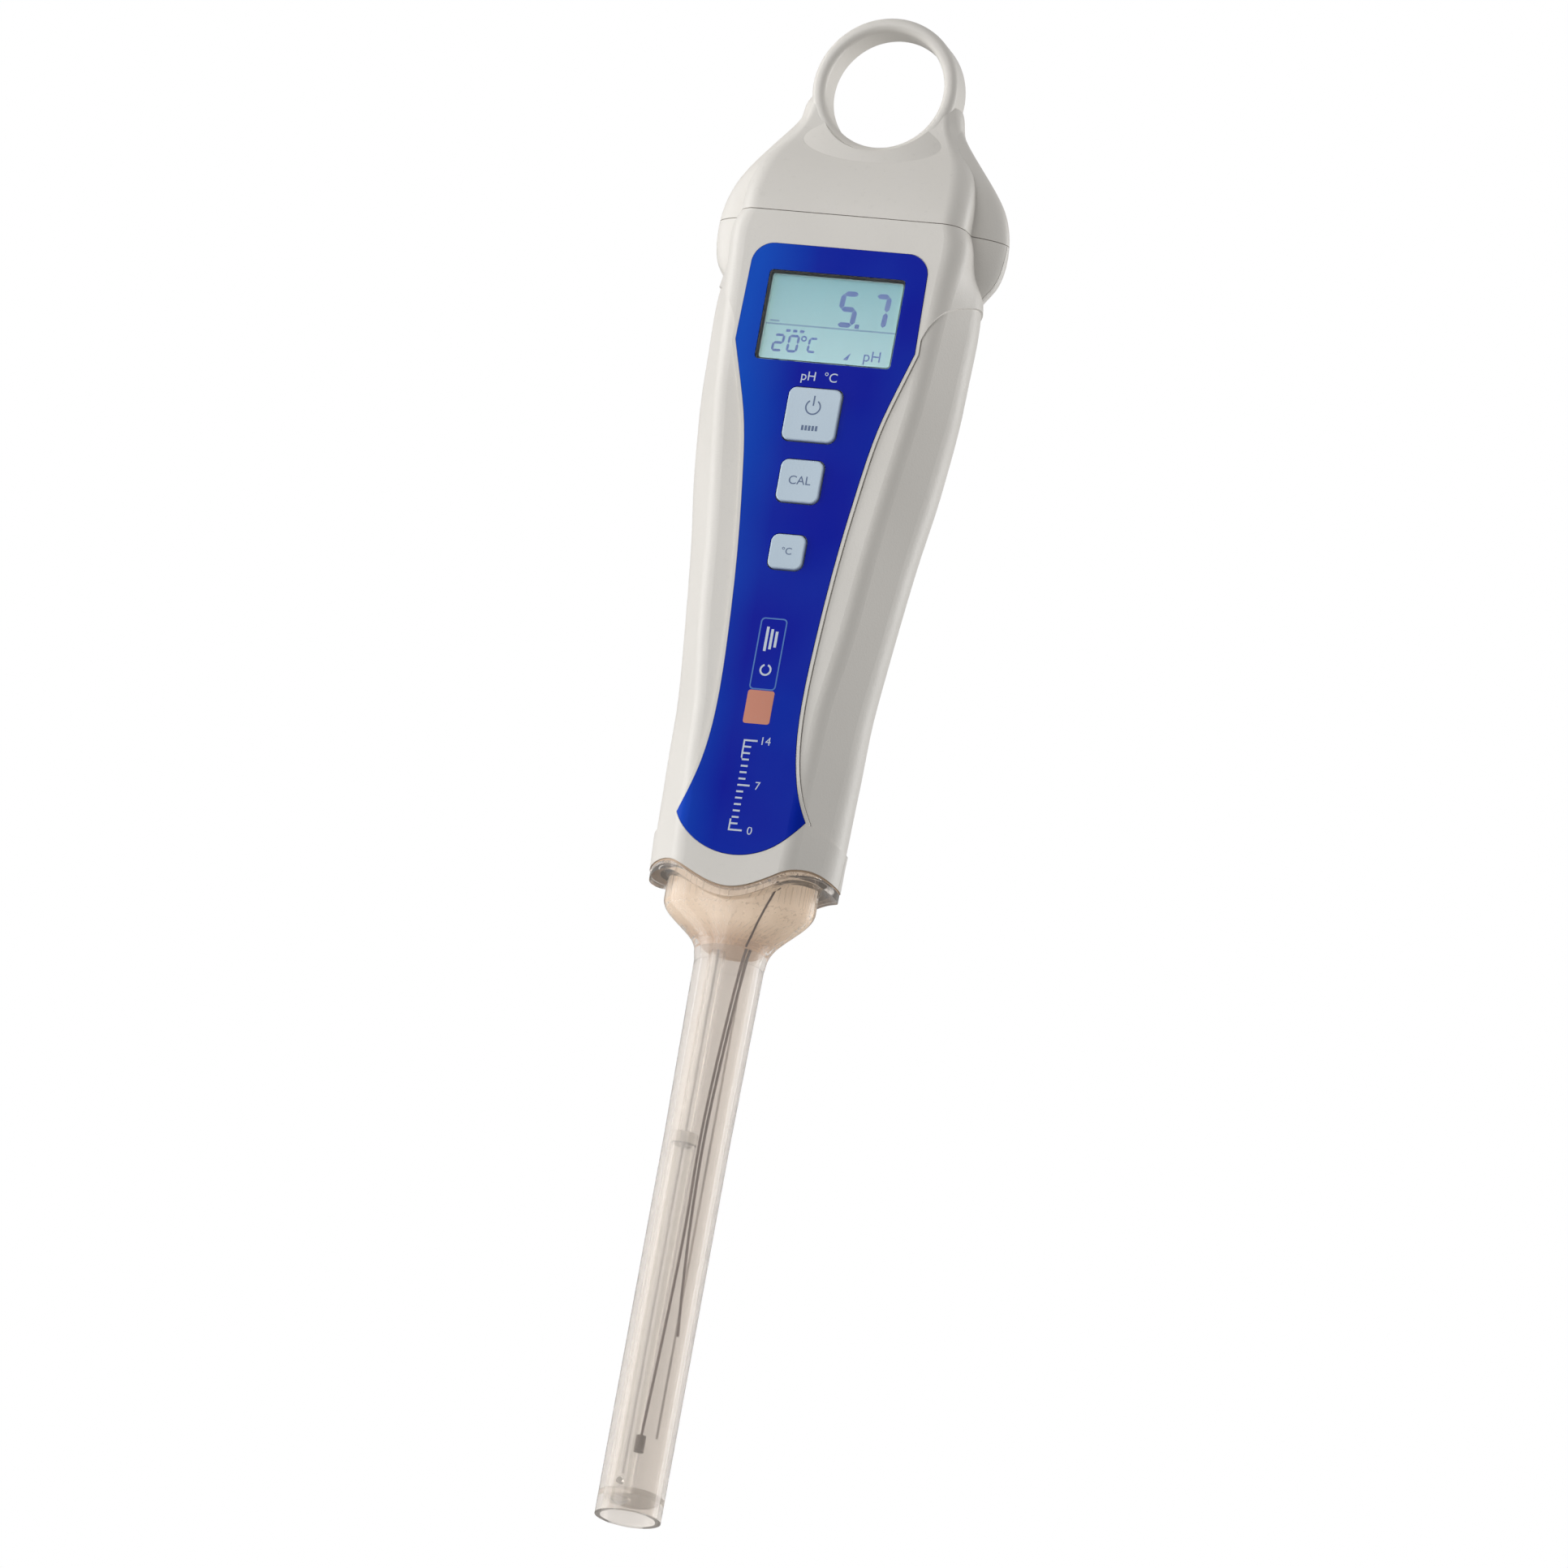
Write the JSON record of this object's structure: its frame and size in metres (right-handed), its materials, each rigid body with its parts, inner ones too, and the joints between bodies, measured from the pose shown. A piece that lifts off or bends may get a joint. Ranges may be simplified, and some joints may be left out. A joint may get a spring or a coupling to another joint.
{
  "type": "pen type ph meter",
  "caption": "Pen type pH meter with a hanging loop, battery cap, display, press keys, blue label and a clear round probe.",
  "frame": {"origin": "middle of the hanging loop's bore", "axes": "+Z along the pen from the probe tip to the loop, -Y out of the display face, +X to the right of someone reading the display"},
  "size_m": [0.0548, 0.0256, 0.2831],
  "materials": {
    "body_plastic": "light warm grey moulded plastic, fine satin texture",
    "inner_plastic": "dark moulded plastic",
    "spring_steel": "nickel plated spring steel",
    "pin_steel": "drawn steel",
    "screw_steel": "zinc plated",
    "seal_rubber": "black rubber",
    "battery_can": "shrink sleeve over a steel can",
    "blue_label": "printed polyester, satin gloss",
    "clear_window": "clear hard plastic",
    "display_surround": "dark blue surround",
    "display_glass": "pale green reflective display",
    "backlight": "diffuser",
    "connector_rubber": "striped conductive rubber",
    "board": "green solder mask",
    "chip_black": "moulded epoxy",
    "membrane_rubber": "grey silicone",
    "lead_insulation": "red lead insulation",
    "dark_wire": "thin dark insulated wire",
    "key_plastic": "pale blue moulded key",
    "gasket_tan": "tan sealing bead",
    "clear_probe": "clear moulded plastic, slightly warm",
    "resin": "tan potting resin",
    "electrode_glass": "thin glass",
    "junction_ring": "translucent ring",
    "silver_wire": "chloride coated silver",
    "sensor_bead": "glass coated bead",
    "porous_plug": "porous plug",
    "clear_seal": "clear silicone"
  },
  "bodies": {
    "housing": {"front_shell": "body_plastic", "rear_shell": "body_plastic", "battery_tube": "inner_plastic", "cap_seal": "seal_rubber", "battery": "battery_can", "positive_contact": "spring_steel", "neck_contact": "spring_steel", "label_overlay": "blue_label", "lcd_window": "clear_window", "lcd_bezel": "display_surround", "display_frame": "inner_plastic", "lcd_glass": "display_glass", "lcd_backlight": "backlight", "lcd_connectors": "connector_rubber", "circuit_board": "board", "board_screws": "screw_steel", "key_switches": "chip_black", "keypad_membrane": "membrane_rubber", "meter_chip": "chip_black", "board_parts": "chip_black", "battery_leads": "lead_insulation", "probe_leads": "lead_insulation", "sensor_leads": "dark_wire", "collar_gasket": "gasket_tan", "probe_housing": "clear_probe", "potting": "resin", "electrode_glass": "electrode_glass", "upper_glass": "electrode_glass", "junction_ring": "junction_ring", "measuring_wire": "silver_wire", "reference_wire": "silver_wire", "temperature_leads": "dark_wire", "temperature_sensor": "sensor_bead", "reference_junction": "porous_plug", "tip_seal": "clear_seal"},
    "cap": {"battery_cap": "body_plastic", "spring_plate": "spring_steel", "battery_spring": "spring_steel", "clip_pin": "pin_steel"},
    "clip": {"cap_clip": "body_plastic"},
    "power_button": {"power_key": "key_plastic", "power_plunger": "inner_plastic"},
    "calibrate_button": {"calibrate_key": "key_plastic", "calibrate_plunger": "inner_plastic"},
    "units_button": {"units_key": "key_plastic", "units_plunger": "inner_plastic"}
  },
  "joints": [
    {"name": "cap_slide", "type": "slide", "parent": "housing", "child": "cap", "axis": [0, 0, 1], "range_m": [0, 0.04]},
    {"name": "clip_hinge", "type": "hinge", "parent": "cap", "child": "clip", "pos_m": [0, 0.01365, -0.022], "axis": [1, 0, 0], "range_deg": [0, 60]},
    {"name": "power_press", "type": "slide", "parent": "housing", "child": "power_button", "axis": [0, 1, 0], "range_m": [0, 0.0004], "stiffness_N_per_m": 500},
    {"name": "calibrate_press", "type": "slide", "parent": "housing", "child": "calibrate_button", "axis": [0, 1, 0], "range_m": [0, 0.0004], "stiffness_N_per_m": 500},
    {"name": "units_press", "type": "slide", "parent": "housing", "child": "units_button", "axis": [0, 1, 0], "range_m": [0, 0.0004], "stiffness_N_per_m": 500}
  ]
}
